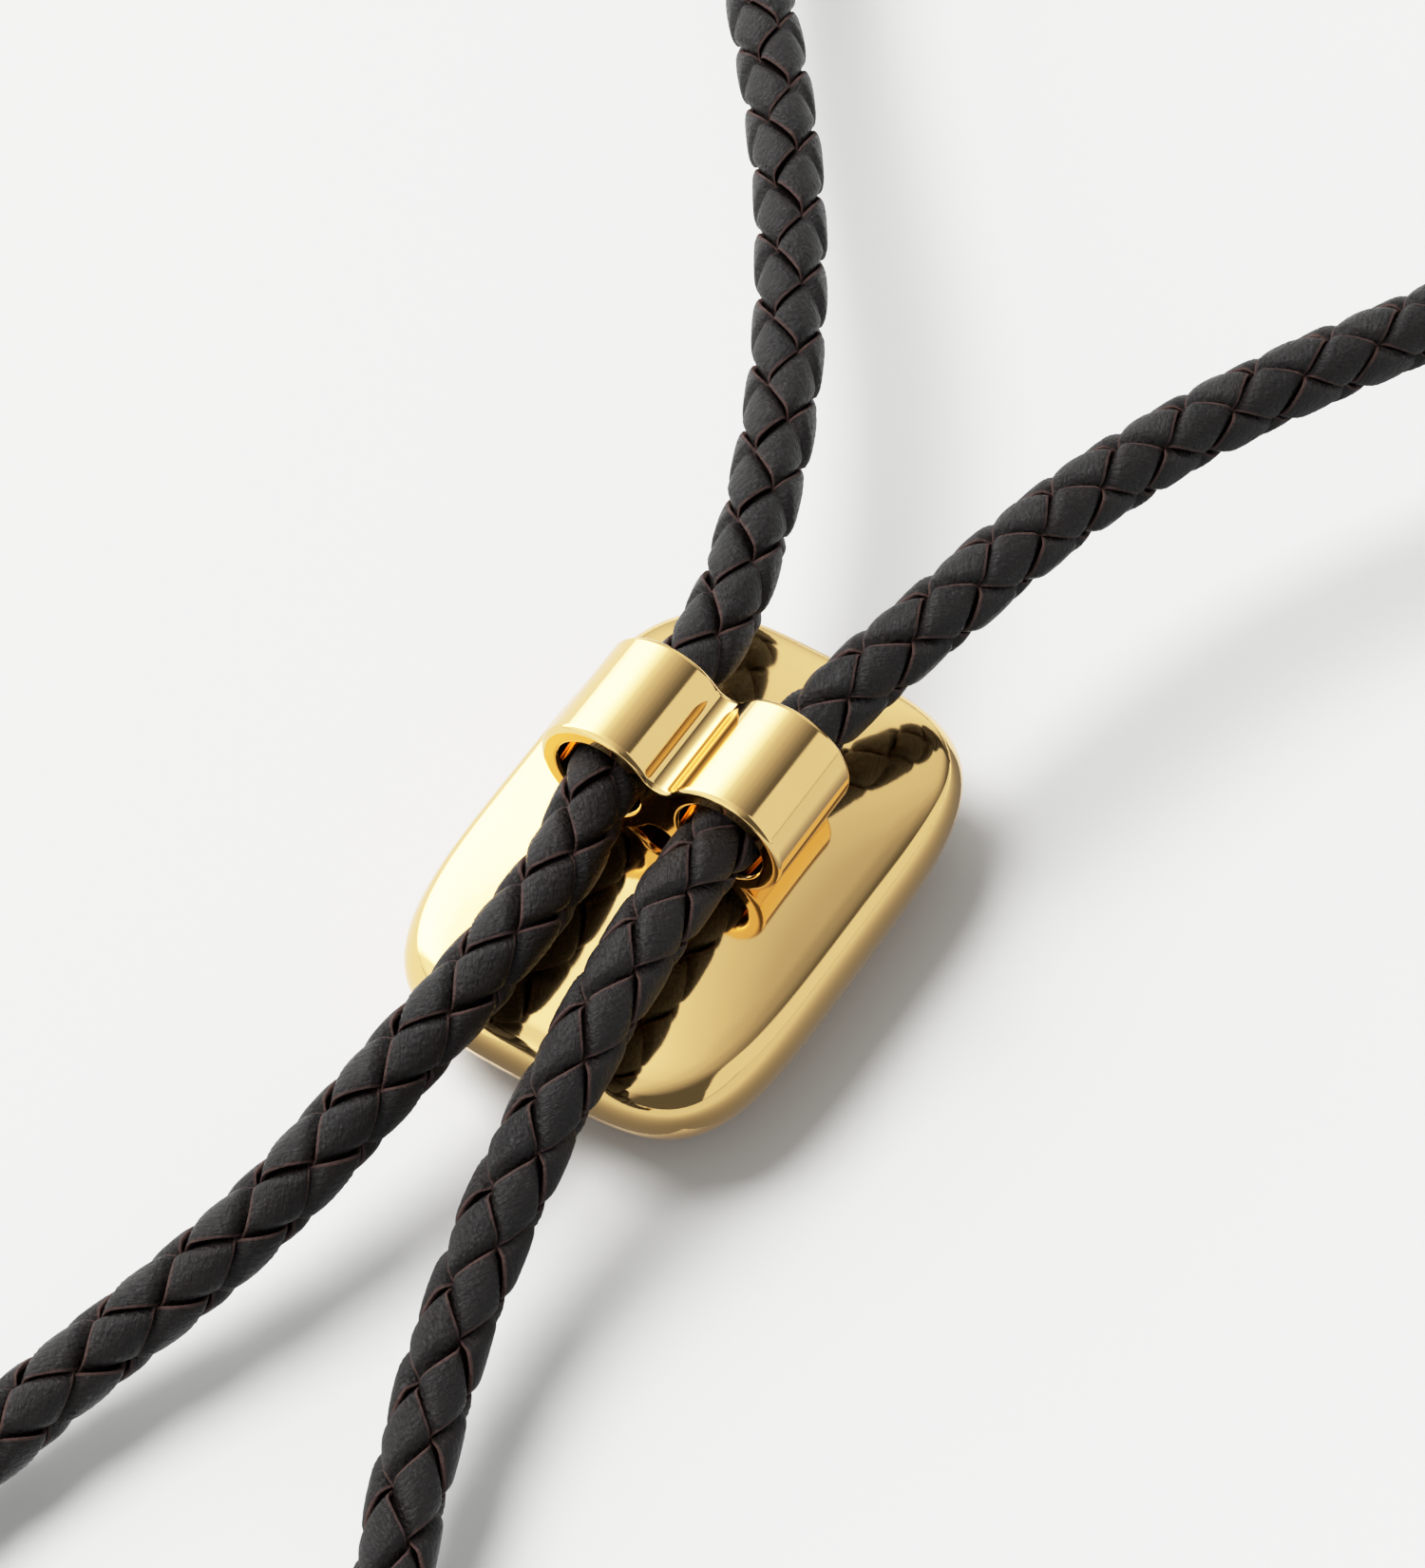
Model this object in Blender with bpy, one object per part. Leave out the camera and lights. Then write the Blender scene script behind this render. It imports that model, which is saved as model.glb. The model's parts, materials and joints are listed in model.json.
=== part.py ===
"""Bolo tie seen from its back: a polished cushion slide lying on its front face, with a
double-tube bracket that carries one braided leather cord. The cord leaves the bracket
upwards as the neck loop and downwards as two tails, each ending in a plain metal tip.

Frame: +X across the slide from tube to tube, +Y along the tubes towards the neck loop,
+Z up. The slide rests on z = 0 with its flat front, centred on the origin.
"""

import math

import bmesh
import bpy
import numpy as np
from mathutils import Matrix, Vector

MM = 0.001

# Cushion body of the slide, in mm
BODY_HALF_WIDTH = 13.2
BODY_HALF_LENGTH = 18.53
BODY_CORNER_EXPONENT = 4.17     # superellipse exponent of the outline
BODY_CENTRE_EXPONENT = 2.0      # towards the middle the rings turn into ellipses
RING_BLEND = 1.7                # how late the rings take the outline's corners
WIDEST_LINE_Z = 6.6             # height of the outline's widest line
# Cross-section of the back, upwards from the widest line: radius of each arc and the tilt
# of the surface where it ends. One last arc closes it in the middle.
BACK_ARCS = ((5.0, 64.0), (1.45, 30.0), (3.0, 20.0), (9.0, 14.0))
OUTLINE_STEPS = 72

# Double-tube bracket on the back, in mm
TUBE_OUTER_RADIUS = 4.41
TUBE_BORE_RADIUS = 3.07
TUBE_OFFSET_X = 4.53            # each tube's axis from the slide's middle
TUBE_AXIS_Z = 14.7
TUBE_LENGTH = 8.68
TUBE_CENTRE_X = -0.81
TUBE_CENTRE_Y = 2.36
VALLEY_HEIGHT = 2.1             # the groove between the tubes, above their axes
EDGE_ROUND = 0.45
ARC_STEPS = 26

# Cord and tips, in mm
CORD_DIAMETER = 4.9
CORD_POINT_SPACING = 9.0
CORD_FLOOR_Z = 2.47             # the cord's middle where it lies on the floor
TIP_RADIUS = 3.3
TIP_LENGTH = 20.0
TIP_SOCKET_RADIUS = 2.75
TIP_SOCKET_DEPTH = 6.3
TIP_GAP = 0.3
TIP_STEPS = 24

# The cord's middle line, from the left tail's end over the left tube and round the neck
# loop to the right tail's end. Columns: x, y, z in mm.
LEFT_TAIL = (
    (-16.38, -69.2, 3.5),
    (-14.29, -60.03, 4.05),
    (-12.05, -50.55, 5),
    (-8.38, -38.75, 7),
    (-5.64, -24.69, 10.35),
    (-4.08, -13.71, 13),
    (-4.43, -5.47, 13.95),
)
LEFT_STRAND = (
    (-5.28, 11.07, 14.72),
    (-7.19, 18.98, 15),
    (-11.34, 29.32, 15.15),
    (-16.9, 39.44, 15.53),
    (-23.76, 49.35, 15.61),
    (-31.61, 59.06, 15.14),
    (-40.61, 71.56, 13.6),
    (-49.71, 88.56, 10.7),
    (-56.01, 108.06, 7.3),
    (-58.41, 128.06, 4.5),
)
NECK_ARC = (
    (-55.31, 151.06, 2.7),
    (-44.81, 170.06, CORD_FLOOR_Z),
    (-24.81, 182.56, CORD_FLOOR_Z),
    (-2.31, 186.56, CORD_FLOOR_Z),
    (20.69, 181.56, CORD_FLOOR_Z),
    (39.19, 167.06, CORD_FLOOR_Z),
    (48.69, 146.56, 2.8),
)
RIGHT_STRAND = (
    (48.99, 125.06, 4.8),
    (44.49, 105.06, 8.2),
    (37.49, 87.56, 12),
    (28.69, 70.86, 15.1),
    (20.27, 54.92, 16.83),
    (14.46, 44.41, 16.7),
    (10.68, 35.28, 16.7),
    (8.14, 25.6, 16.85),
    (5.94, 16.41, 16.2),
    (4.39, 10.31, 15.35),
)
RIGHT_TAIL = (
    (3.71, -6.2, 14.95),
    (4.21, -17.67, 13.3),
    (5.24, -28.8, 9.6),
    (8.33, -41.82, 6.5),
    (11.5, -49.85, 5.2),
    (16.15, -59.66, 4.1),
    (20.27, -68.2, 3.5),
)


def clear_scene():
    for obj in list(bpy.data.objects):
        bpy.data.objects.remove(obj, do_unlink=True)


def material(name, colour, metallic, roughness):
    mat = bpy.data.materials.new(name)
    mat.use_nodes = True
    shader = mat.node_tree.nodes["Principled BSDF"]
    shader.inputs["Base Color"].default_value = (*colour, 1.0)
    shader.inputs["Metallic"].default_value = metallic
    shader.inputs["Roughness"].default_value = roughness
    mat.diffuse_color = (*colour, 1.0)
    return mat


def add_object(name, mesh, mat=None, parent=None):
    obj = bpy.data.objects.new(name, mesh)
    bpy.context.scene.collection.objects.link(obj)
    if mat is not None:
        mesh.materials.append(mat)
    obj.parent = parent
    return obj


def helper(obj):
    obj.hide_render = True
    obj.display_type = "WIRE"
    return obj


def outline(half_x, half_y, exponent, steps):
    """Points of a superellipse, evenly spread in the stretched angle."""
    ring = []
    for k in range(steps):
        t = 2 * math.pi * (k + 0.5) / steps
        x, y = math.cos(t) * half_x, math.sin(t) * half_y
        scale = (abs(x / half_x) ** exponent + abs(y / half_y) ** exponent) ** (-1 / exponent)
        ring.append((x * scale, y * scale))
    return ring


def back_profile(tilts):
    """Cross-section of the back at the given tilts in degrees, falling from 90 to 0:
    fraction of the outline and height in mm."""
    x, z, tilt, arcs = BODY_HALF_WIDTH, WIDEST_LINE_Z, 90.0, []
    for radius, end in BACK_ARCS:
        arcs.append((x, z, tilt, end, radius))
        a, b = math.radians(tilt), math.radians(end)
        x -= radius * (math.sin(a) - math.sin(b))
        z += radius * (math.cos(b) - math.cos(a))
        tilt = end
    arcs.append((x, z, tilt, 0.0, x / math.sin(math.radians(tilt))))
    rows = []
    for value in tilts:
        x, z, start, end, radius = next(arc for arc in arcs if value >= arc[3])
        a, b = math.radians(start), math.radians(value)
        x -= radius * (math.sin(a) - math.sin(b))
        z += radius * (math.cos(b) - math.cos(a))
        rows.append((x / BODY_HALF_WIDTH, z))
    return rows


def body_sections():
    """Rings of the cushion from the back's middle over the edge to the flat front.
    Each is (fraction of the outline, height in mm, superellipse exponent)."""
    rows = []
    tilts = (2.0, 5.0, 8.0, 11.0, 14.0, 17.0, 20.0, 25.0, 30.0, 38.0, 47.0, 56.0, 64.0, 73.0, 82.0, 90.0)
    for fraction, z in back_profile(tilts):
        blend = fraction**RING_BLEND
        exponent = BODY_CENTRE_EXPONENT + (BODY_CORNER_EXPONENT - BODY_CENTRE_EXPONENT) * blend
        rows.append((fraction, z, exponent))
    for tilt in (101, 112, 124, 137, 151, 165, 180):
        turn = math.radians(tilt)
        x = BODY_HALF_WIDTH - WIDEST_LINE_Z * (1 - math.sin(turn))
        rows.append((x / BODY_HALF_WIDTH, WIDEST_LINE_Z * (1 + math.cos(turn)), BODY_CORNER_EXPONENT))
    return rows


def loft(sections, cap_point=None):
    """Closed mesh through rings of equal count; the first end closes on a point."""
    bm = bmesh.new()
    rings = [[bm.verts.new(Vector(p) * MM) for p in ring] for ring in sections]
    for a, b in zip(rings, rings[1:]):
        for k in range(len(a)):
            j = (k + 1) % len(a)
            bm.faces.new((a[k], a[j], b[j], b[k]))
    if cap_point is None:
        bm.faces.new(reversed(rings[0]))
    else:
        top = bm.verts.new(Vector(cap_point) * MM)
        for k in range(len(rings[0])):
            bm.faces.new((top, rings[0][(k + 1) % len(rings[0])], rings[0][k]))
    bm.faces.new(rings[-1])
    bmesh.ops.recalc_face_normals(bm, faces=bm.faces)
    mesh = bpy.data.meshes.new("loft")
    bm.to_mesh(mesh)
    bm.free()
    return mesh


def body_mesh():
    sections = []
    for fraction, z, exponent in body_sections():
        ring = outline(BODY_HALF_WIDTH * fraction, BODY_HALF_LENGTH * fraction, exponent, OUTLINE_STEPS)
        sections.append([(x, y, z) for x, y in ring])
    return loft(sections, cap_point=(0, 0, back_profile([0.0])[0][1]))


def bracket_contour(inset):
    """Outline of the two joined tubes in the XZ plane, moved inwards by inset."""
    c, r = TUBE_OFFSET_X, TUBE_OUTER_RADIUS
    fillet = (c * c + VALLEY_HEIGHT**2 - r * r) / (2 * (r - VALLEY_HEIGHT))
    height = VALLEY_HEIGHT + fillet
    touch = math.atan2(height, -c)
    r, fillet = r - inset, fillet + inset
    points = []
    for k in range(ARC_STEPS + 1):
        a = -touch + 2 * touch * k / ARC_STEPS
        points.append((c + r * math.cos(a), r * math.sin(a)))
    open_angle = math.pi - touch
    for k in range(1, 5):
        a = -open_angle + (2 * open_angle - math.pi) * k / 5
        points.append((fillet * math.cos(a), height + fillet * math.sin(a)))
    lower = [(-x, -z) for x, z in points]
    return [(TUBE_CENTRE_X + x, TUBE_AXIS_Z + z) for x, z in points + lower]


def bracket_mesh():
    half = TUBE_LENGTH / 2
    sections = []
    for side in (-1, 1):
        turns = [math.pi / 2 * k / 3 for k in range(4)]
        for turn in turns if side < 0 else reversed(turns):
            inset = EDGE_ROUND * (1 - math.sin(turn))
            y = TUBE_CENTRE_Y + side * (half - EDGE_ROUND * (1 - math.cos(turn)))
            sections.append([(x, y, z) for x, z in bracket_contour(inset)])
    return loft(sections)


def bore_mesh(x):
    bm = bmesh.new()
    place = Matrix.Translation(Vector((x, TUBE_CENTRE_Y, TUBE_AXIS_Z)) * MM) @ Matrix.Rotation(
        math.pi / 2, 4, "X"
    )
    bmesh.ops.create_cone(
        bm,
        cap_ends=True,
        segments=40,
        radius1=TUBE_BORE_RADIUS * MM,
        radius2=TUBE_BORE_RADIUS * MM,
        depth=(TUBE_LENGTH + 1.0) * MM,
        matrix=place,
    )
    bmesh.ops.recalc_face_normals(bm, faces=bm.faces)
    mesh = bpy.data.meshes.new("bore")
    bm.to_mesh(mesh)
    bm.free()
    return mesh


def add_boolean(obj, name, operation, other):
    mod = obj.modifiers.new(name, "BOOLEAN")
    mod.operation = operation
    mod.solver = "EXACT"
    mod.object = other


def unit(vector):
    return vector / np.linalg.norm(vector)


def route_points():
    """All route points in mm, with a straight run into each tip."""
    left, right = np.array(LEFT_TAIL), np.array(RIGHT_TAIL)
    ends = []
    for end, inner in ((left[0], left[1]), (right[-1], right[-2])):
        heading = unit((end - inner) * (1, 1, 0))
        level = np.array((end[0], end[1], TIP_RADIUS))
        ends.append([level + heading * (5.0 + 4.0 * k) for k in range(3)])
    tube = [
        [
            (TUBE_CENTRE_X + side * TUBE_OFFSET_X, TUBE_CENTRE_Y + along, TUBE_AXIS_Z)
            for along in (-2.2, 2.2)
        ]
        for side in (-1, 1)
    ]
    rows = ends[0][::-1] + list(left) + tube[0]
    rows += list(LEFT_STRAND) + list(NECK_ARC) + list(RIGHT_STRAND)
    rows += tube[1][::-1] + list(right) + ends[1]
    return np.array([tuple(row) for row in rows], float)


def smooth_curve(points, samples_per_mm=4.0):
    """Natural cubic spline through the points, sampled finely."""
    steps = np.linalg.norm(np.diff(points, axis=0), axis=1)
    t = np.concatenate([[0.0], np.cumsum(steps)])
    n = len(points)
    matrix, right = np.eye(n), np.zeros((n, 3))
    for i in range(1, n - 1):
        matrix[i, i - 1 : i + 2] = steps[i - 1], 2 * (steps[i - 1] + steps[i]), steps[i]
        right[i] = 6 * (
            (points[i + 1] - points[i]) / steps[i] - (points[i] - points[i - 1]) / steps[i - 1]
        )
    bend = np.linalg.solve(matrix, right)
    fine = []
    for i in range(n - 1):
        h = steps[i]
        count = max(2, int(h * samples_per_mm))
        for k in range(count):
            b = k / count
            a = 1 - b
            fine.append(
                a * points[i]
                + b * points[i + 1]
                + ((a**3 - a) * bend[i] + (b**3 - b) * bend[i + 1]) * h * h / 6
            )
    fine.append(points[-1])
    return np.array(fine)


def even_points(fine, spacing):
    run = np.concatenate([[0.0], np.cumsum(np.linalg.norm(np.diff(fine, axis=0), axis=1))])
    count = int(round(run[-1] / spacing))
    stations = np.linspace(0, run[-1], count + 1)
    return np.stack([np.interp(stations, run, fine[:, k]) for k in range(3)], axis=1)


def cord_object(name, points, mat, parent):
    curve = bpy.data.curves.new(name, "CURVE")
    curve.dimensions = "3D"
    curve.bevel_depth = CORD_DIAMETER / 2 * MM
    curve.bevel_resolution = 3
    curve.use_fill_caps = True
    spline = curve.splines.new("POLY")
    spline.points.add(len(points) - 1)
    for row, point in zip(spline.points, points):
        row.co = (*(point * MM), 1.0)
    curve.materials.append(mat)
    obj = bpy.data.objects.new(name, curve)
    bpy.context.scene.collection.objects.link(obj)
    obj.parent = parent
    return obj


def tip_mesh():
    """Turned sleeve along local +X, with a blind socket at x = 0 and a rounded end."""
    end = TIP_LENGTH
    profile = [  # (along, radius)
        (TIP_SOCKET_DEPTH, TIP_SOCKET_RADIUS),
        (0.0, TIP_SOCKET_RADIUS),
        (0.0, TIP_RADIUS - 0.25),
        (0.25, TIP_RADIUS),
        (end - 2.2, TIP_RADIUS),
        (end - 0.9, TIP_RADIUS - 0.55),
        (end - 0.2, TIP_RADIUS - 1.35),
        (end, TIP_RADIUS - 2.2),
    ]
    rings = []
    for along, radius in profile:
        angles = [2 * math.pi * (k + 0.5) / TIP_STEPS for k in range(TIP_STEPS)]
        rings.append([(along, radius * math.cos(a), radius * math.sin(a)) for a in angles])
    return loft(rings)


def main():
    clear_scene()
    gold = material("polished_gold", (0.83, 0.63, 0.30), 1.0, 0.08)
    leather = material("braided_leather", (0.028, 0.021, 0.020), 0.0, 0.5)
    tip_gold = material("tip_gold", (0.83, 0.63, 0.30), 1.0, 0.12)

    root = bpy.data.objects.new("bolo_tie", None)
    bpy.context.scene.collection.objects.link(root)

    slide = add_object("slide", body_mesh(), gold, root)
    bracket = helper(add_object("bracket_blank", bracket_mesh()))
    add_boolean(slide, "solder_bracket", "UNION", bracket)
    for side, x in (("left", -TUBE_OFFSET_X), ("right", TUBE_OFFSET_X)):
        bore = helper(add_object("bore_cutter_" + side, bore_mesh(TUBE_CENTRE_X + x)))
        add_boolean(slide, "bore_" + side, "DIFFERENCE", bore)

    points = even_points(smooth_curve(route_points()), CORD_POINT_SPACING)
    cord_object("cord", points, leather, root)

    for name, end, inner in (
        ("tip_left", points[0], points[1]),
        ("tip_right", points[-1], points[-2]),
    ):
        heading = unit(end - inner)
        mouth = end - heading * (TIP_SOCKET_DEPTH - TIP_GAP)
        tip = add_object(name, tip_mesh(), tip_gold, root)
        tip.location = Vector(mouth * MM)
        tip.rotation_euler = Vector(heading).to_track_quat("X", "Z").to_euler()


main()
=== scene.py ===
"""Looks of a bolo tie seen from its back: a polished gold cushion slide lying on its front,
its soldered double-tube bracket, and one braided leather cord that leaves the bracket
upwards as the neck loop and downwards as two tails with plain metal tips.

All route and shape tables are in mm, in the row frame; meshes are made in metres.
"""

import json
import math

import bmesh
import bpy
import numpy as np
from mathutils import Matrix, Vector

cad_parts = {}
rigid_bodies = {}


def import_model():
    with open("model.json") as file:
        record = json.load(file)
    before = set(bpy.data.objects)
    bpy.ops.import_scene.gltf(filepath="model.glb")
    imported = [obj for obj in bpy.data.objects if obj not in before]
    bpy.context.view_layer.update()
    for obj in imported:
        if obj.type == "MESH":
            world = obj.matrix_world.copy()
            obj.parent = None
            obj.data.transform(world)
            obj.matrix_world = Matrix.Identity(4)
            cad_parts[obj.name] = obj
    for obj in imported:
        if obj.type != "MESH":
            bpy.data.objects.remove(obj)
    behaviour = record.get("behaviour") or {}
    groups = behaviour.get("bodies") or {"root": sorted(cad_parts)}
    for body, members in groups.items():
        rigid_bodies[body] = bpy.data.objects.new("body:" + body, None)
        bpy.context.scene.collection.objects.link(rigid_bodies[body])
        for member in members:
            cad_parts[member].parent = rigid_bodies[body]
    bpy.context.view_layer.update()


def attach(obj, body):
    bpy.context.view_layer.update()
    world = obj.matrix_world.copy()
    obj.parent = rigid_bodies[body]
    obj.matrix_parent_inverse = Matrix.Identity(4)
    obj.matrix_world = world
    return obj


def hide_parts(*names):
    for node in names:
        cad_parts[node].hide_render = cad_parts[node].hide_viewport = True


for startup_object in list(bpy.data.objects):
    bpy.data.objects.remove(startup_object, do_unlink=True)

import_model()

MM = 0.001
TURN = 2 * math.pi

# Slide, in mm
BODY_HALF_WIDTH = 13.2
BODY_HALF_LENGTH = 18.53
BODY_CORNER_EXPONENT = 4.17     # superellipse exponent of the outline
BODY_CENTRE_EXPONENT = 2.0      # towards the middle the rings turn into ellipses
RING_BLEND = 1.7                # how late the rings take the outline's corners
WIDEST_LINE_Z = 6.6             # height of the outline's widest line
# Cross-section of the back, upwards from the widest line: radius of each arc and the tilt
# of the surface where it ends. One last arc closes it in the middle.
BACK_ARCS = ((5.0, 64.0), (1.45, 30.0), (3.0, 20.0), (9.0, 14.0))
TUBE_OUTER_RADIUS = 4.41
TUBE_BORE_RADIUS = 3.07
TUBE_OFFSET_X = 4.53
TUBE_AXIS_Z = 14.7
TUBE_LENGTH = 8.68
TUBE_CENTRE_X = -0.81
TUBE_CENTRE_Y = 2.36
VALLEY_HEIGHT = 2.1
EDGE_ROUND = 0.45
BORE_ROUND = 0.3

# Cord and tips, in mm
CORD_FLOOR_Z = 2.47
TIP_RADIUS = 3.3
TIP_LENGTH = 20.0
TIP_SOCKET_RADIUS = 2.75
TIP_SOCKET_DEPTH = 6.3
TIP_GAP = 0.3

# The cord's middle line. Columns: x, y, z in mm.
LEFT_TAIL = (
    (-16.38, -69.2, 3.5),
    (-14.29, -60.03, 4.05),
    (-12.05, -50.55, 5),
    (-8.38, -38.75, 7),
    (-5.64, -24.69, 10.35),
    (-4.08, -13.71, 13),
    (-4.43, -5.47, 13.95),
)
LEFT_STRAND = (
    (-5.28, 11.07, 14.72),
    (-7.19, 18.98, 15),
    (-11.34, 29.32, 15.15),
    (-16.9, 39.44, 15.53),
    (-23.76, 49.35, 15.61),
    (-31.61, 59.06, 15.14),
    (-40.61, 71.56, 13.6),
    (-49.71, 88.56, 10.7),
    (-56.01, 108.06, 7.3),
    (-58.41, 128.06, 4.5),
)
NECK_ARC = (
    (-55.31, 151.06, 2.7),
    (-44.81, 170.06, CORD_FLOOR_Z),
    (-24.81, 182.56, CORD_FLOOR_Z),
    (-2.31, 186.56, CORD_FLOOR_Z),
    (20.69, 181.56, CORD_FLOOR_Z),
    (39.19, 167.06, CORD_FLOOR_Z),
    (48.69, 146.56, 2.8),
)
RIGHT_STRAND = (
    (48.99, 125.06, 4.8),
    (44.49, 105.06, 8.2),
    (37.49, 87.56, 12),
    (28.69, 70.86, 15.1),
    (20.27, 54.92, 16.83),
    (14.46, 44.41, 16.7),
    (10.68, 35.28, 16.7),
    (8.14, 25.6, 16.85),
    (5.94, 16.41, 16.2),
    (4.39, 10.31, 15.35),
)
RIGHT_TAIL = (
    (3.71, -6.2, 14.95),
    (4.21, -17.67, 13.3),
    (5.24, -28.8, 9.6),
    (8.33, -41.82, 6.5),
    (11.5, -49.85, 5.2),
    (16.15, -59.66, 4.1),
    (20.27, -68.2, 3.5),
)

# Braid: three laces wind each way and pass over and under each other in turn. In mm.
LACE_WIDTH = 3.35
LACE_THICKNESS = 0.95
LACE_MIDDLE_RADIUS = 1.545
LACE_SWING = 0.48
LACE_SLANT_RADIUS = 2.0
# Lozenge spacing along one column. Columns: distance from the left tail's end, spacing.
LOZENGE_SPACING = (
    (0.0, 6.5),
    (85.0, 6.3),
    (110.0, 5.7),
    (300.0, 5.7),
    (520.0, 5.6),
    (560.0, 6.3),
    (633.0, 7.0),
)
FINE_REACH = 92.0               # the visible runs reach this far from the slide
FINE_STEP = 0.22
COARSE_STEP = 0.5


# ---------------------------------------------------------------- small mesh helpers


def unit(vector):
    return vector / np.linalg.norm(vector)


def add_mesh(name, points, faces, normals=None, attributes=None, smooth=True):
    """Object from points in mm. faces is a list of index arrays, each with equal-length rows."""
    mesh = bpy.data.meshes.new(name)
    sizes = np.concatenate([np.full(len(f), f.shape[1]) for f in faces]).astype(np.int32)
    loops = np.concatenate([f.ravel() for f in faces]).astype(np.int32)
    mesh.vertices.add(len(points))
    mesh.vertices.foreach_set("co", (np.asarray(points, float) * MM).astype(np.float32).ravel())
    mesh.loops.add(len(loops))
    mesh.loops.foreach_set("vertex_index", loops)
    starts = np.concatenate([[0], np.cumsum(sizes)[:-1]]).astype(np.int32)
    mesh.polygons.add(len(sizes))
    mesh.polygons.foreach_set("loop_start", starts)
    mesh.polygons.foreach_set("loop_total", sizes)
    mesh.update(calc_edges=True)
    mesh.validate()
    mesh.polygons.foreach_set("use_smooth", np.full(len(mesh.polygons), smooth))
    for key, values in (attributes or {}).items():
        layer = mesh.attributes.new(key, "FLOAT_VECTOR", "POINT")
        layer.data.foreach_set("vector", np.asarray(values, np.float32).ravel())
    if normals is not None:
        mesh.normals_split_custom_set_from_vertices(np.asarray(normals, float).tolist())
    obj = bpy.data.objects.new(name, mesh)
    bpy.context.scene.collection.objects.link(obj)
    return obj


def grid_faces(rows, columns, closed_columns=True, offset=0):
    """Quads between rows of points; the columns run round when they are closed."""
    i = np.arange(rows - 1)[:, None]
    j = np.arange(columns if closed_columns else columns - 1)[None, :]
    k = (j + 1) % columns
    a, b = i * columns + j, i * columns + k
    return np.stack([a, b, b + columns, a + columns], axis=-1).reshape(-1, 4) + offset


def smooth_step(x, low, high):
    t = np.clip((x - low) / (high - low), 0, 1)
    return t * t * (3 - 2 * t)


# ---------------------------------------------------------------- the cord's middle line


def route_points():
    left, right = np.array(LEFT_TAIL), np.array(RIGHT_TAIL)
    ends = []
    for end, inner in ((left[0], left[1]), (right[-1], right[-2])):
        heading = unit((end - inner) * (1, 1, 0))
        level = np.array((end[0], end[1], TIP_RADIUS))
        ends.append([level + heading * (5.0 + 4.0 * k) for k in range(3)])
    tube = [
        [
            (TUBE_CENTRE_X + side * TUBE_OFFSET_X, TUBE_CENTRE_Y + along, TUBE_AXIS_Z)
            for along in (-2.2, 2.2)
        ]
        for side in (-1, 1)
    ]
    rows = ends[0][::-1] + list(left) + tube[0]
    rows += list(LEFT_STRAND) + list(NECK_ARC) + list(RIGHT_STRAND)
    rows += tube[1][::-1] + list(right) + ends[1]
    return np.array([tuple(row) for row in rows], float)


def smooth_curve(points, samples_per_mm=4.0):
    """Natural cubic spline through the points, sampled finely."""
    steps = np.linalg.norm(np.diff(points, axis=0), axis=1)
    n = len(points)
    matrix, right = np.eye(n), np.zeros((n, 3))
    for i in range(1, n - 1):
        matrix[i, i - 1 : i + 2] = steps[i - 1], 2 * (steps[i - 1] + steps[i]), steps[i]
        right[i] = 6 * (
            (points[i + 1] - points[i]) / steps[i] - (points[i] - points[i - 1]) / steps[i - 1]
        )
    bend = np.linalg.solve(matrix, right)
    fine = []
    for i in range(n - 1):
        h = steps[i]
        count = max(2, int(h * samples_per_mm))
        for k in range(count):
            b = k / count
            a = 1 - b
            fine.append(
                a * points[i]
                + b * points[i + 1]
                + ((a**3 - a) * bend[i] + (b**3 - b) * bend[i + 1]) * h * h / 6
            )
    fine.append(points[-1])
    return np.array(fine)


class Line:
    """The cord's middle line with frames that turn as little as they can."""

    def __init__(self, fine, step=0.25):
        run = np.concatenate([[0.0], np.cumsum(np.linalg.norm(np.diff(fine, axis=0), axis=1))])
        self.length = run[-1]
        self.s = np.linspace(0, run[-1], int(run[-1] / step) + 1)
        self.p = np.stack([np.interp(self.s, run, fine[:, k]) for k in range(3)], axis=1)
        tangent = np.gradient(self.p, self.s, axis=0)
        self.t = tangent / np.linalg.norm(tangent, axis=1)[:, None]
        side = unit(np.cross(self.t[0], (0, 0, 1)))
        sides = [side]
        for a, b, p, q in zip(self.t, self.t[1:], self.p, self.p[1:]):
            v = q - p
            c = v @ v
            r = sides[-1] - 2 / c * (v @ sides[-1]) * v
            t = a - 2 / c * (v @ a) * v
            w = b - t
            d = w @ w
            sides.append(r if d < 1e-16 else r - 2 / d * (w @ r) * w)
        self.n = np.array(sides)
        self.b = np.cross(self.t, self.n)
        table = np.array(LOZENGE_SPACING)
        spacing = np.interp(self.s, table[:, 0], table[:, 1])
        self.pitch = 3 * spacing
        self.phase = np.concatenate(
            [[0.0], np.cumsum(np.diff(self.s) * 2 / (self.pitch[1:] + self.pitch[:-1]))]
        )

    def at(self, s, columns):
        return np.stack([np.interp(s, self.s, columns[:, k]) for k in range(3)], axis=-1)

    def place(self, s, angle, radius):
        p, n, b = self.at(s, self.p), self.at(s, self.n), self.at(s, self.b)
        return p + radius[..., None] * (np.cos(angle)[..., None] * n + np.sin(angle)[..., None] * b)

    def where_y(self, y, first, last):
        """Distance along the line of its crossing of the plane at y, between two distances."""
        inside = (self.s >= first) & (self.s <= last)
        return self.s[inside][np.argmin(np.abs(self.p[inside, 1] - y))]


LINE = Line(smooth_curve(route_points()))
HALF_TUBE = TUBE_LENGTH / 2
LEFT_SPLIT = LINE.where_y(TUBE_CENTRE_Y, 60, 120)
RIGHT_SPLIT = LINE.where_y(TUBE_CENTRE_Y, LINE.length - 120, LINE.length - 60)
FRONT_Y, REAR_Y = TUBE_CENTRE_Y - HALF_TUBE, TUBE_CENTRE_Y + HALF_TUBE
RIGHT_REAR = LINE.where_y(REAR_Y, LINE.length - 120, LINE.length - 60)


# ---------------------------------------------------------------- braided laces


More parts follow.
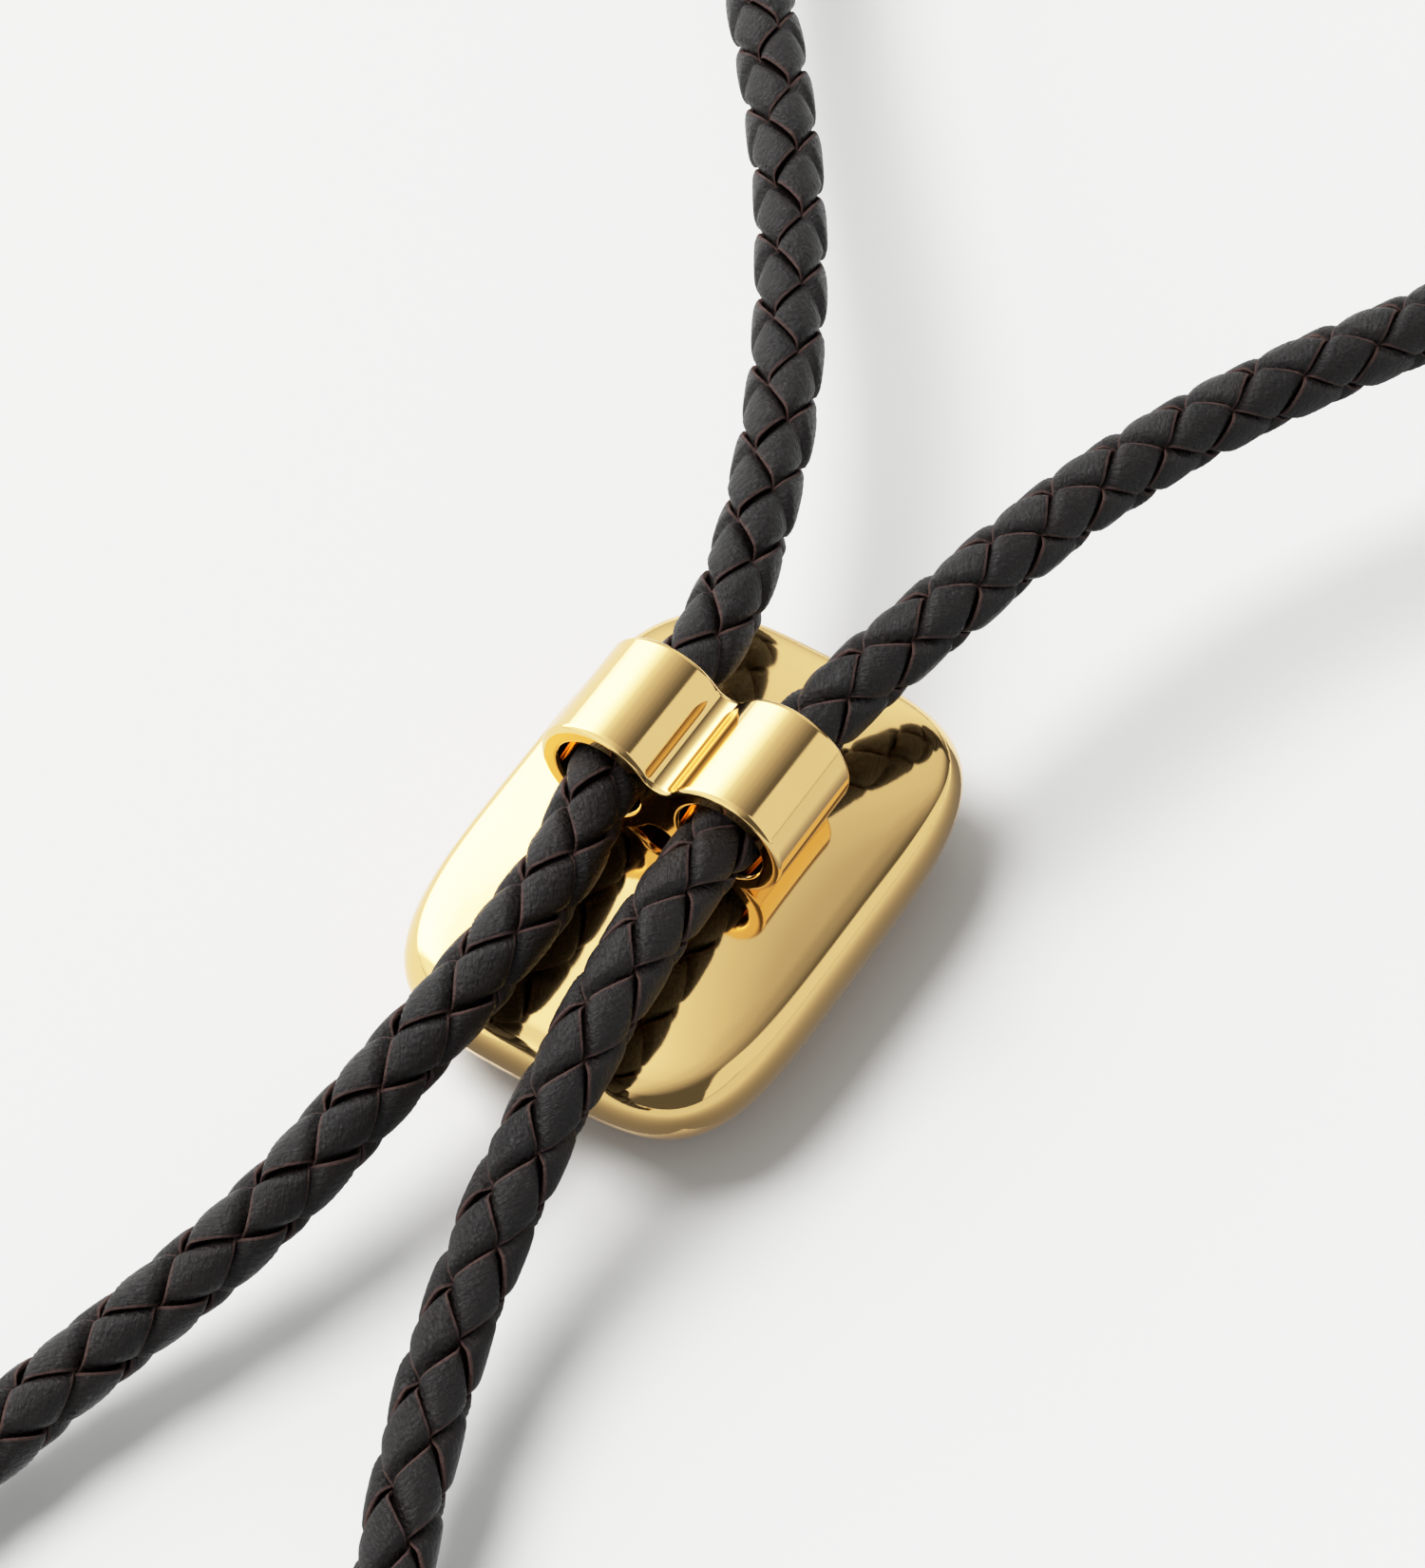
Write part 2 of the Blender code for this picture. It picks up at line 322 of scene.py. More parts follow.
def lift(phase):
    """How far out a lace lies: 1 on top of a crossing (even phase), -1 below (odd phase)."""
    d = np.abs((phase + 1) % 2 - 1)
    return 0.88 * (1 - 2 * smooth_step(d, 0.28, 0.62)) + 0.12 * np.cos(math.pi * d)


def lace_section():
    """Closed outline of a lace: across from -1 to 1, and height in thicknesses."""
    top = np.array((-1.0, -0.96, -0.86, -0.7, -0.48, -0.24, 0.0, 0.24, 0.48, 0.7, 0.86, 0.96, 1.0))
    bottom = np.array((0.9, 0.45, 0.0, -0.45, -0.9))
    upper = 0.5 - 0.12 * top**2 - 0.20 * np.abs(top) ** 6
    lower = -0.5 + 0.48 * np.abs(bottom) ** 2
    return np.concatenate([top, bottom]), np.concatenate([upper, lower])


def stations(first, last):
    """Distances along the cord: fine near the slide, coarser on the far part of the loop."""
    out, s = [], first
    near = (LEFT_SPLIT, RIGHT_SPLIT)
    while s < last:
        out.append(s)
        s += FINE_STEP if min(abs(s - n) for n in near) < FINE_REACH else COARSE_STEP
    if last - out[-1] < 0.3 * FINE_STEP:
        out.pop()
    out.append(last)
    return np.array(out)


def wander(s, seed, amount):
    """Slow wave along a lace, different for each seed."""
    total = np.zeros_like(s)
    for k, wave in enumerate((31.0, 13.7, 7.9)):
        total += math.sin(2.3 * seed + 5.1 * k) * np.sin(TURN * s / wave + 1.9 * seed + 2.7 * k)
    return amount * total / 1.6


def laces(name, first, last, way):
    """Three closed laces that wind one way (1 or -1) between two distances along the cord."""
    across, height = lace_section()
    s = stations(first, last)
    phase = np.interp(s, LINE.s, LINE.phase)
    slant = np.arctan(TURN * LACE_SLANT_RADIUS / np.interp(s, LINE.s, LINE.pitch))
    points, faces, coords = [], [], []
    count = len(across)
    for number in range(3):
        seed = number + (3.5 if way < 0 else 0.0)
        u = across[None, :] * LACE_WIDTH / 2 + wander(s, seed, 0.13)[:, None]
        along = s[:, None] - way * u * np.sin(slant)[:, None]
        angle = way * TURN * phase[:, None] + TURN * number / 3
        angle = angle + u * np.cos(slant)[:, None] / LACE_SLANT_RADIUS
        local_phase = np.interp(along, LINE.s, LINE.phase)
        crossing = 3 * (angle / TURN + way * local_phase) + number + (0 if way > 0 else 1)
        radius = LACE_MIDDLE_RADIUS + LACE_SWING * lift(crossing)
        radius = radius + height[None, :] * LACE_THICKNESS
        radius = radius + wander(s, seed + 9.0, 0.04)[:, None]
        radius = radius + across[None, :] * wander(1.7 * s, seed + 17.0, 0.07)[:, None]
        place = LINE.place(along, angle, radius)
        offset = sum(len(p) for p in points)
        points.append(place.reshape(-1, 3))
        quads = grid_faces(len(s), count, offset=offset)
        faces.append(quads if way > 0 else quads)
        length_along = s / np.cos(np.mean(slant))
        coords.append(
            np.stack(
                [
                    np.broadcast_to(across[None, :], place.shape[:2]),
                    np.broadcast_to(length_along[:, None], place.shape[:2]),
                    np.full(place.shape[:2], seed),
                ],
                axis=-1,
            ).reshape(-1, 3)
        )
        caps = [np.arange(count)[::-1] + offset, np.arange(count) + offset + (len(s) - 1) * count]
        faces.append(np.array(caps))
    obj = add_mesh(name, np.concatenate(points), faces, attributes={"lace": np.concatenate(coords)})
    fix_normals(obj)
    return obj


def fix_normals(obj):
    bm = bmesh.new()
    bm.from_mesh(obj.data)
    bmesh.ops.recalc_face_normals(bm, faces=bm.faces)
    bm.to_mesh(obj.data)
    bm.free()


def core(name, first, last):
    """The dark core that the laces are braided over."""
    s = np.arange(first, last, 1.2)
    s = np.append(s, last)
    angles = TURN * np.arange(12) / 12
    rings = LINE.place(
        np.broadcast_to(s[:, None], (len(s), 12)),
        np.broadcast_to(angles[None, :], (len(s), 12)),
        np.full((len(s), 12), 1.2),
    )
    points = rings.reshape(-1, 3)
    faces = [grid_faces(len(s), 12)]
    faces.append(np.array([np.arange(12)[::-1], np.arange(12) + (len(s) - 1) * 12]))
    obj = add_mesh(name, points, faces)
    fix_normals(obj)
    return obj


# ---------------------------------------------------------------- slide


def superellipse(half_x, half_y, exponent, steps):
    t = TURN * (np.arange(steps) + 0.5) / steps
    x, y = np.cos(t) * half_x, np.sin(t) * half_y
    scale = (np.abs(x / half_x) ** exponent + np.abs(y / half_y) ** exponent) ** (-1 / exponent)
    return x * scale, y * scale


def back_profile(tilts):
    """Cross-section of the back at the given tilts in degrees, falling from 90 to 0:
    fraction of the outline and height in mm."""
    x, z, tilt, arcs = BODY_HALF_WIDTH, WIDEST_LINE_Z, 90.0, []
    for radius, end in BACK_ARCS:
        arcs.append((x, z, tilt, end, radius))
        a, b = math.radians(tilt), math.radians(end)
        x -= radius * (math.sin(a) - math.sin(b))
        z += radius * (math.cos(b) - math.cos(a))
        tilt = end
    arcs.append((x, z, tilt, 0.0, x / math.sin(math.radians(tilt))))
    rows = []
    for value in tilts:
        x, z, start, end, radius = next(arc for arc in arcs if value >= arc[3])
        a, b = math.radians(start), math.radians(value)
        x -= radius * (math.sin(a) - math.sin(b))
        z += radius * (math.cos(b) - math.cos(a))
        rows.append((x / BODY_HALF_WIDTH, z))
    return rows


def slide_body(name, steps=360, front_rows=40):
    """The cushion body: domed back, tight rounded edge, full sides, rounded front with a flat."""
    tilts = np.concatenate(
        [
            np.linspace(1.2, 14, 22),
            np.linspace(14, 20, 12)[1:],
            np.linspace(20, 30, 12)[1:],
            np.linspace(30, 64, 34)[1:],
            np.linspace(64, 90, 22)[1:],
        ]
    )
    rows = [(f, z, t, True) for (f, z), t in zip(back_profile(tilts), tilts)]
    for tilt in np.linspace(90, 180, front_rows + 1)[1:]:
        a = math.radians(tilt)
        x = BODY_HALF_WIDTH - WIDEST_LINE_Z * (1 - math.sin(a))
        rows.append((x / BODY_HALF_WIDTH, WIDEST_LINE_Z * (1 + math.cos(a)), tilt, False))

    def ring(fraction, back):
        blend = fraction**RING_BLEND if back else 1.0
        exponent = BODY_CENTRE_EXPONENT + (BODY_CORNER_EXPONENT - BODY_CENTRE_EXPONENT) * blend
        return np.stack(
            superellipse(BODY_HALF_WIDTH * fraction, BODY_HALF_LENGTH * fraction, exponent, steps)
            + (np.zeros(steps),),
            axis=1,
        )

    grid, normals = [], []
    for fraction, z, tilt, back in rows:
        level = ring(fraction, back)
        around = np.roll(level, -1, axis=0) - np.roll(level, 1, axis=0)
        spread = (ring(fraction + 1e-4, back) - ring(fraction - 1e-4, back)) / 2e-4
        a = math.radians(tilt)
        down = spread * math.cos(a) / BODY_HALF_WIDTH + np.array((0, 0, -math.sin(a)))
        normal = np.cross(down, around)
        normals.append(normal / np.linalg.norm(normal, axis=1)[:, None])
        grid.append(level + (0, 0, z))
    grid, normals = np.array(grid), np.array(normals)
    normals *= np.sign((normals[60, :, :2] * grid[60, :, :2]).sum(-1).mean())
    top_z = back_profile([0.0])[0][1]
    points = np.concatenate([grid.reshape(-1, 3), [(0, 0, top_z)], [(0, 0, 0)]])
    all_normals = np.concatenate([normals.reshape(-1, 3), [(0, 0, 1)], [(0, 0, -1)]])
    top, bottom = len(points) - 2, len(points) - 1
    k = np.arange(steps)
    j = (k + 1) % steps
    last = (len(rows) - 1) * steps
    faces = [
        grid_faces(len(rows), steps)[:, ::-1],
        np.stack([np.full(steps, top), k, j], axis=1),
        np.stack([np.full(steps, bottom), last + j, last + k], axis=1),
    ]
    return add_mesh(name, points, faces, normals=all_normals)


def bracket_contour(inset, arc_steps=120, fillet_steps=20):
    """Outline of the two joined tubes in the XZ plane with its normals, moved inwards by inset."""
    c, r = TUBE_OFFSET_X, TUBE_OUTER_RADIUS
    fillet = (c * c + VALLEY_HEIGHT**2 - r * r) / (2 * (r - VALLEY_HEIGHT))
    height = VALLEY_HEIGHT + fillet
    touch = math.atan2(height, -c)
    a = -touch + 2 * touch * np.arange(arc_steps + 1) / arc_steps
    open_angle = math.pi - touch
    b = -open_angle + (2 * open_angle - math.pi) * np.arange(1, fillet_steps) / fillet_steps
    arc = np.stack([c + (r - inset) * np.cos(a), (r - inset) * np.sin(a)], axis=1)
    valley = np.stack([(fillet + inset) * np.cos(b), height + (fillet + inset) * np.sin(b)], axis=1)
    half = np.concatenate([arc, valley])
    half_normals = np.concatenate(
        [np.stack([np.cos(a), np.sin(a)], axis=1), -np.stack([np.cos(b), np.sin(b)], axis=1)]
    )
    return np.concatenate([half, -half]), np.concatenate([half_normals, -half_normals])


def slide_bracket(name, bore_steps=112, round_steps=8):
    """The two joined tubes with rounded ends and rounded bore mouths, as one closed mesh."""
    bm = bmesh.new()
    normals = []

    def add_ring(contour, contour_normals, y, turn, side):
        ring = []
        for (x, z), (nx, nz) in zip(contour, contour_normals):
            ring.append(
                bm.verts.new(((TUBE_CENTRE_X + x) * MM, y * MM, (TUBE_AXIS_Z + z) * MM))
            )
            n = math.sin(turn)
            normals.append((nx * n, side * math.cos(turn), nz * n))
        return ring

    def join(rings, flip):
        for a, b in zip(rings, rings[1:]):
            for k in range(len(a)):
                j = (k + 1) % len(a)
                quad = (a[k], a[j], b[j], b[k])
                bm.faces.new(quad[::-1] if flip else quad)

    turns = [math.pi / 2 * k / round_steps for k in range(round_steps + 1)]
    outer = []
    for side in (-1, 1):
        for turn in turns if side < 0 else turns[::-1]:
            contour, contour_normals = bracket_contour(EDGE_ROUND * (1 - math.sin(turn)))
            y = TUBE_CENTRE_Y + side * (HALF_TUBE - EDGE_ROUND * (1 - math.cos(turn)))
            outer.append(add_ring(contour, contour_normals, y, turn, side))
    join(outer, False)
    bores = []
    angles = TURN * np.arange(bore_steps) / bore_steps
    circle = np.stack([np.cos(angles), np.sin(angles)], axis=1)
    for x in (-TUBE_OFFSET_X, TUBE_OFFSET_X):
        rings = []
        for side in (-1, 1):
            for turn in turns if side < 0 else turns[::-1]:
                radius = TUBE_BORE_RADIUS + BORE_ROUND * (1 - math.sin(turn))
                y = TUBE_CENTRE_Y + side * (HALF_TUBE - BORE_ROUND * (1 - math.cos(turn)))
                rings.append(add_ring(circle * radius + (x, 0), -circle, y, turn, side))
        join(rings, True)
        bores.append(rings)
    bm.verts.index_update()
    for end in (0, -1):
        edges = []
        for ring in [outer[end]] + [rings[end] for rings in bores]:
            edges += [bm.edges.get((ring[k], ring[(k + 1) % len(ring)])) for k in range(len(ring))]
        bmesh.ops.triangle_fill(bm, use_beauty=True, use_dissolve=False, edges=edges)
    bmesh.ops.recalc_face_normals(bm, faces=bm.faces)
    mesh = bpy.data.meshes.new(name)
    bm.to_mesh(mesh)
    bm.free()
    mesh.polygons.foreach_set("use_smooth", np.full(len(mesh.polygons), True))
    mesh.normals_split_custom_set_from_vertices(normals)
    obj = bpy.data.objects.new(name, mesh)
    bpy.context.scene.collection.objects.link(obj)
    return obj


# ---------------------------------------------------------------- tips


def tip_profile():
    """Turned profile of a tip from its socket's bottom round the lip to its rounded end."""
    rows = [(TIP_SOCKET_DEPTH, 0.0), (TIP_SOCKET_DEPTH, TIP_SOCKET_RADIUS - 0.15)]
    rows += [(TIP_SOCKET_DEPTH - 0.15, TIP_SOCKET_RADIUS), (0.25, TIP_SOCKET_RADIUS)]
    for k in range(1, 12):
        a = math.pi * k / 12
        middle = (TIP_SOCKET_RADIUS + TIP_RADIUS) / 2
        half = (TIP_RADIUS - TIP_SOCKET_RADIUS) / 2
        rows.append((half - half * math.sin(a), middle - half * math.cos(a)))
    groove = [(1.45, 0.0), (1.55, 0.03), (1.65, 0.1), (1.8, 0.16), (1.95, 0.1), (2.05, 0.03), (2.15, 0.0)]
    rows += [(along, TIP_RADIUS - depth) for along, depth in groove]
    rows += [(4.0, TIP_RADIUS), (8.0, TIP_RADIUS), (12.0, TIP_RADIUS), (15.5, TIP_RADIUS)]
    start = TIP_LENGTH - 2.6
    for k in range(0, 25):
        a = math.pi / 2 * k / 24
        reach = math.sin(a)
        rows.append((start + 2.6 * reach ** (2 / 2.5), TIP_RADIUS * math.cos(a) ** (2 / 2.5)))
    return rows


def tip(name, end_point, inner_point, steps=96):
    profile = tip_profile()
    heading = unit(end_point - inner_point)
    side = unit(np.cross(heading, (0, 0, 1)))
    up = np.cross(side, heading)
    mouth = end_point - heading * (TIP_SOCKET_DEPTH - TIP_GAP)
    angles = TURN * np.arange(steps) / steps
    points = []
    for along, radius in profile[1:-1]:
        ring = mouth + heading * along
        points.append(
            ring
            + radius * (np.cos(angles)[:, None] * side + np.sin(angles)[:, None] * up)
        )
    points = np.concatenate(points + [[mouth + heading * profile[0][0]], [mouth + heading * TIP_LENGTH]])
    rows = len(profile) - 2
    bottom, top = len(points) - 2, len(points) - 1
    k = np.arange(steps)
    j = (k + 1) % steps
    last = (rows - 1) * steps
    faces = [
        grid_faces(rows, steps),
        np.stack([np.full(steps, bottom), j, k], axis=1),
        np.stack([np.full(steps, top), last + k, last + j], axis=1),
    ]
    obj = add_mesh(name, points, faces)
    fix_normals(obj)
    return obj


# ---------------------------------------------------------------- node helpers


class Nodes:
    """Short calls for building a node tree."""

    def __init__(self, tree):
        self.tree = tree
        tree.nodes.clear()

    def add(self, kind, inputs=None, **settings):
        node = self.tree.nodes.new(kind)
        for key, value in settings.items():
            setattr(node, key, value)
        for key, value in (inputs or {}).items():
            self.feed(node.inputs[key], value)
        return node

    def feed(self, socket, value):
        if isinstance(value, bpy.types.NodeSocket):
            self.tree.links.new(value, socket)
        else:
            socket.default_value = value

    def math(self, operation, a, b=0.0, c=0.0, clamp=False):
        node = self.add("ShaderNodeMath", operation=operation, use_clamp=clamp)
        for socket, value in zip(node.inputs, (a, b, c)):
            self.feed(socket, value)
        return node.outputs[0]

    def span(self, value, from_low, from_high, to_low=0.0, to_high=1.0, smooth=True):
        node = self.add(
            "ShaderNodeMapRange",
            interpolation_type="SMOOTHSTEP" if smooth else "LINEAR",
            clamp=True,
        )
        for key, item in zip((0, 1, 2, 3, 4), (value, from_low, from_high, to_low, to_high)):
            self.feed(node.inputs[key], item)
        return node.outputs[0]

    def window(self, value, low, low_soft, high, high_soft):
        """1 between low and high, falling off over the two soft widths."""
        rise = self.span(value, low - low_soft / 2, low + low_soft / 2)
        fall = self.span(value, high - high_soft / 2, high + high_soft / 2, 1.0, 0.0)
        return self.math("MULTIPLY", rise, fall)

    def mix_colour(self, factor, a, b, blend="MIX"):
        node = self.add("ShaderNodeMix", data_type="RGBA", blend_type=blend)
        self.feed(node.inputs[0], factor)
        self.feed(node.inputs[6], a)
        self.feed(node.inputs[7], b)
        return node.outputs[2]

    def noise(self, vector, scale, detail=3.0, roughness=0.55, distortion=0.0):
        node = self.add("ShaderNodeTexNoise")
        self.feed(node.inputs["Vector"], vector)
        self.feed(node.inputs["Scale"], scale)
        self.feed(node.inputs["Detail"], detail)
        self.feed(node.inputs["Roughness"], roughness)
        self.feed(node.inputs["Distortion"], distortion)
        return node.outputs[0]


def new_material(name):
    mat = bpy.data.materials.new(name)
    mat.use_nodes = True
    return mat, Nodes(mat.node_tree)


def gold_material(name, colour, roughness):
    """Polished gold plate: faint hairlines, a slightly uneven polish and tiny specks."""
    mat, n = new_material(name)
    coords = n.add("ShaderNodeTexCoord").outputs["Object"]
    broad = n.noise(coords, 160.0, 3.0, 0.6)
    fine = n.noise(coords, 1500.0, 4.0, 0.6)
    stretched = n.add(
        "ShaderNodeMapping", {"Vector": coords, "Rotation": (0.3, 0.2, 0.6), "Scale": (1.0, 14.0, 5.0)}
    ).outputs[0]
    hair = n.noise(stretched, 420.0, 5.0, 0.7)
    hairline = n.span(hair, 0.60, 0.74)
    rough = n.math("ADD", roughness, n.math("MULTIPLY", n.span(broad, 0.35, 0.75), 0.03))
    rough = n.math("ADD", rough, n.math("MULTIPLY", hairline, 0.05))
    tone = n.mix_colour(n.span(broad, 0.3, 0.7), (*colour, 1), (*[c * 0.97 for c in colour], 1))
    bump = n.add(
        "ShaderNodeBump",
        {"Height": n.math("ADD", n.math("MULTIPLY", hair, 0.5), n.math("MULTIPLY", fine, 0.3)),
         "Strength": 0.02, "Distance": 0.0001},
    ).outputs[0]
    shader = n.add(
        "ShaderNodeBsdfPrincipled",
        {"Base Color": tone, "Roughness": rough, "Metallic": 1.0, "Normal": bump},
    )
    out = n.add("ShaderNodeOutputMaterial")
    mat.node_tree.links.new(shader.outputs[0], out.inputs[0])
    return mat


def leather_material(name):
    """Dark brown split leather laces: fine grain, stretch creases, raw brown edges."""
    mat, n = new_material(name)
    coords = n.add("ShaderNodeTexCoord").outputs["Object"]
    lace = n.add("ShaderNodeAttribute", attribute_name="lace")
    parts = n.add("ShaderNodeSeparateXYZ", {"Vector": lace.outputs["Vector"]})
    across = n.math("ABSOLUTE", parts.outputs[0])
    edge = n.span(n.math("ADD", across, n.math("MULTIPLY", n.noise(coords, 900.0), 0.12)), 0.93, 1.03)
    flow = n.add(
        "ShaderNodeMapping", {"Vector": lace.outputs["Vector"], "Scale": (6.0, 0.9, 3.0)}
    ).outputs[0]
    creases = n.noise(flow, 1.6, 5.0, 0.65, 0.6)
    grain = n.noise(coords, 2600.0, 5.0, 0.62)
    pores = n.add("ShaderNodeTexVoronoi", {"Vector": coords, "Scale": 3000.0}, feature="F1")
    broad = n.noise(coords, 330.0, 3.0, 0.6)
    base = n.mix_colour(
        n.span(broad, 0.3, 0.72), (0.0012, 0.00080, 0.00070, 1), (0.0028, 0.0018, 0.0015, 1)
    )
    base = n.mix_colour(n.span(grain, 0.56, 0.8, 0.0, 0.5), base, (0.0085, 0.0054, 0.0047, 1))
    base = n.mix_colour(n.math("MULTIPLY", edge, 0.85), base, (0.034, 0.0175, 0.0145, 1))
    rough = n.math("ADD", 0.22, n.math("MULTIPLY", n.span(creases, 0.3, 0.7), 0.24))
    rough = n.math("ADD", rough, n.math("MULTIPLY", edge, 0.35), clamp=True)
    height = n.math("ADD", n.math("MULTIPLY", creases, 1.0), n.math("MULTIPLY", grain, 0.55))
    height = n.math("ADD", height, n.math("MULTIPLY", pores.outputs["Distance"], 0.35))
    bump = n.add("ShaderNodeBump", {"Height": height, "Strength": 0.9, "Distance": 0.0002}).outputs[0]
    shader = n.add(
        "ShaderNodeBsdfPrincipled",
        {"Base Color": base, "Roughness": rough, "Normal": bump, "Metallic": 0.0},
    )
    shader.inputs["Specular IOR Level"].default_value = 0.24
    out = n.add("ShaderNodeOutputMaterial")
    mat.node_tree.links.new(shader.outputs[0], out.inputs[0])
    return mat


def core_material(name):
    mat, n = new_material(name)
    coords = n.add("ShaderNodeTexCoord").outputs["Object"]
    fibre = n.noise(coords, 900.0, 4.0, 0.6)
    base = n.mix_colour(fibre, (0.006, 0.004, 0.004, 1), (0.016, 0.010, 0.009, 1))
    bump = n.add("ShaderNodeBump", {"Height": fibre, "Strength": 0.4, "Distance": 0.0001}).outputs[0]
    shader = n.add(
        "ShaderNodeBsdfPrincipled", {"Base Color": base, "Roughness": 0.8, "Normal": bump}
    )
    out = n.add("ShaderNodeOutputMaterial")
    mat.node_tree.links.new(shader.outputs[0], out.inputs[0])
    return mat


def floor_material(name, level):
    mat, n = new_material(name)
    coords = n.add("ShaderNodeTexCoord").outputs["Object"]
    fleck = n.noise(coords, 1400.0, 3.0, 0.6)
    a, b = level * 0.995, level * 1.005
    base = n.mix_colour(fleck, (a, a, a * 0.985, 1), (b, b, b * 0.985, 1))
    shader = n.add("ShaderNodeBsdfPrincipled", {"Base Color": base, "Roughness": 0.9})
    shader.inputs["Specular IOR Level"].default_value = 0.0
    out = n.add("ShaderNodeOutputMaterial")
    mat.node_tree.links.new(shader.outputs[0], out.inputs[0])
    return mat


# ---------------------------------------------------------------- camera


def make_camera():
    data = bpy.data.cameras.new("photo_camera")
    data.sensor_width = 36.0
    data.lens = 18.0 / (825.0 / 6400.0)
    data.clip_start, data.clip_end = 0.01, 50.0
    cam = bpy.data.objects.new("photo_camera", data)
    bpy.context.scene.collection.objects.link(cam)
    right = np.array((0.84365, 0.53689, 0.0))
    up = np.array((-0.43727, 0.68711, 0.58024))
    back = -np.array((-0.31152, 0.48952, -0.81445))
    rows = np.eye(4)
    rows[:3, 0], rows[:3, 1], rows[:3, 2] = right, up, back
    rows[:3, 3] = np.array((120.178, -185.740, 326.379)) * MM
    cam.matrix_world = Matrix(rows.tolist())
    bpy.context.scene.camera = cam


make_camera()

# ---------------------------------------------------------------- cords

leather = leather_material("braided_leather_laces")
core_dark = core_material("cord_core")
gold = gold_material("polished_gold_plate", (0.92, 0.588, 0.228), 0.06)
tip_gold = gold_material("polished_tip_gold", (0.90, 0.575, 0.223), 0.10)

GAP = 0.15
END_ROOM = 0.9
tip_left = tip("tip_left_turned", LINE.p[0], LINE.at(4.0, LINE.p))
tip_right = tip("tip_right_turned", LINE.p[-1], LINE.at(LINE.length - 4.0, LINE.p))
for piece, node in ((tip_left, "tip_left"), (tip_right, "tip_right")):
    piece.data.materials.append(tip_gold)
    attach(piece, "root")
    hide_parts(node)


def cord_run(name, first, last, trims=(GAP, GAP)):
    """One run of the cord, with its laces both ways and its core."""
    a, b = first + trims[0], last - trims[1]
    clockwise = laces(name + "_laces_clockwise", a, b, 1)
    counter = laces(name + "_laces_counter", a, b, -1)
    inside = core(name + "_core", a, b)
    for piece, mat in ((clockwise, leather), (counter, leather), (inside, core_dark)):
        piece.data.materials.append(mat)
        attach(piece, "root")
        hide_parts("cord")


cord_run("left_tail", 0.0, LEFT_SPLIT, (END_ROOM, GAP))
cord_run("neck_loop", LEFT_SPLIT, RIGHT_SPLIT)
cord_run("right_tail", RIGHT_SPLIT, LINE.length, (GAP, END_ROOM))

# ---------------------------------------------------------------- slide

body = slide_body("slide_body")
bracket = slide_bracket("slide_bracket")
for piece in (body, bracket):
    piece.data.materials.append(gold)
    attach(piece, "root")
    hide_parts("slide")

# ---------------------------------------------------------------- floor and light


def make_floor(level):
    size = 6.0
    mesh = bpy.data.meshes.new("studio_floor")
    mesh.from_pydata([(-size, -size, 0), (size, -size, 0), (size, size, 0), (-size, size, 0)], [], [(0, 1, 2, 3)])
    obj = bpy.data.objects.new("studio_floor", mesh)
    bpy.context.scene.collection.objects.link(obj)
    obj.location.z = -0.00002
    mesh.materials.append(floor_material("pale_floor", level))


# Levels of the low light on the left and of the overhead glow by roll: the angle from
# straight up, in degrees, negative to the left. Columns: roll, level.
HALO_ROLL = (
    (-98, 0.0), (-90, 0.45), (-81, 0.75), (-73, 1.0), (-48, 1.0), (-41, 0.9), (-33, 0.6),
    (-25, 0.35), (-17, 0.12), (-6, 0.02), (4, 0.0),
)
GLOW_ROLL = (
    (-110, 0.9), (-60, 1.5), (-38, 1.2), (-20, 0.98), (-10, 0.94), (0, 0.80), (8, 0.58),
    (16, 0.36), (24, 0.18), (31, 0.04), (36, 0.0),
)
HALO_LEVEL = 4.6
# The key light, high on the left, and a weak fill light on the right: azimuth, elevation and
# width in degrees, and level on the floor.
KEY_LIGHT = (186.0, 60.0, 32.0, 2.55)
FILL_LIGHT = (-25.0, 42.0, 80.0, 0.20)
# Levels of the painted reflection that the steep sides mirror low on the right, a glowing card standing for the
# floor's shade: beside the slide and 30 mm away.
PAINTED_REFLECTION_NEAR, PAINTED_REFLECTION_FAR = 0.24, 1.0
GLOW_LEVEL = 1.25
PANEL_LEVEL = 1.0
ROOM_LEVEL = 0.12
# Every level is divided by this in the world, so that the brightest stays under 1, and the
# tone curve brings the picture back.
TOP_LEVEL = 8.0


